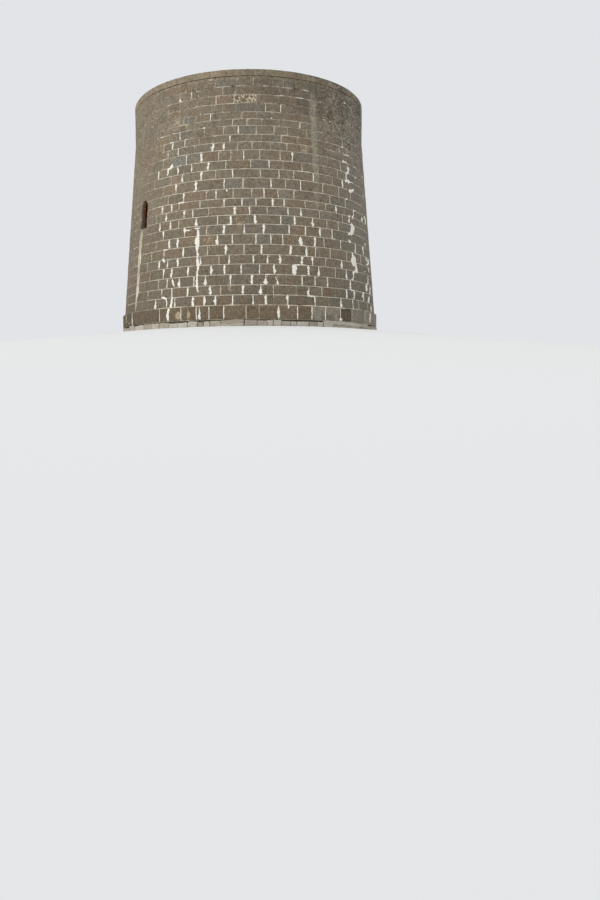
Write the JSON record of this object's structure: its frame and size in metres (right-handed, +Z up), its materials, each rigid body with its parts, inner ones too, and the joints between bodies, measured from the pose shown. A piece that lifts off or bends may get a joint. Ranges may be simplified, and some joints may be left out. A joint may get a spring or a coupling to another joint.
{
  "type": "martello tower",
  "caption": "Squat round gun tower of coursed ashlar with a battered wall on a projecting plinth, narrow slit windows, a raised doorway and an open gun platform behind a parapet.",
  "frame": {"origin": "centre of the tower's foot, on the ground", "axes": "+Z up along the tower's axis; +Y towards the raised doorway; the slit windows face -X and +X"},
  "size_m": [13.12, 13.12, 11.125],
  "materials": {
    "wall_stone": "weathered squared ashlar with pale lime joints",
    "footing_stone": "rough pale stone",
    "paving_stone": "worn flags",
    "brick": "old red brick",
    "planks": "bare boards",
    "mortar": "lime mortar"
  },
  "bodies": {
    "root": {"footing_course": "footing_stone", "ground_floor": "paving_stone", "plinth_1": "wall_stone", "plinth_2": "wall_stone", "plinth_3": "wall_stone", "plinth_4": "wall_stone", "wall_bay_1": "wall_stone", "wall_bay_2": "wall_stone", "wall_bay_3": "wall_stone", "wall_bay_4": "wall_stone", "wall_bay_5": "wall_stone", "wall_bay_6": "wall_stone", "wall_bay_7": "wall_stone", "wall_bay_8": "wall_stone", "wall_bay_9": "wall_stone", "wall_under_east_slit": "wall_stone", "wall_north_of_east_slit": "wall_stone", "wall_south_of_east_slit": "wall_stone", "wall_over_east_slit": "wall_stone", "east_slit_brick_ring": "brick", "wall_under_west_slit": "wall_stone", "wall_north_of_west_slit": "wall_stone", "wall_south_of_west_slit": "wall_stone", "wall_over_west_slit": "wall_stone", "west_slit_brick_ring": "brick", "wall_under_door": "wall_stone", "wall_east_of_door": "wall_stone", "wall_west_of_door": "wall_stone", "wall_over_door": "wall_stone", "door_lintel": "wall_stone", "door_threshold": "wall_stone", "upper_room_floor": "planks", "vault": "brick", "gun_platform": "paving_stone", "parapet_1": "wall_stone", "parapet_2": "wall_stone", "parapet_3": "wall_stone", "parapet_4": "wall_stone", "coping_1": "wall_stone", "coping_2": "wall_stone", "coping_3": "wall_stone", "coping_4": "wall_stone"}
  },
  "joints": []
}
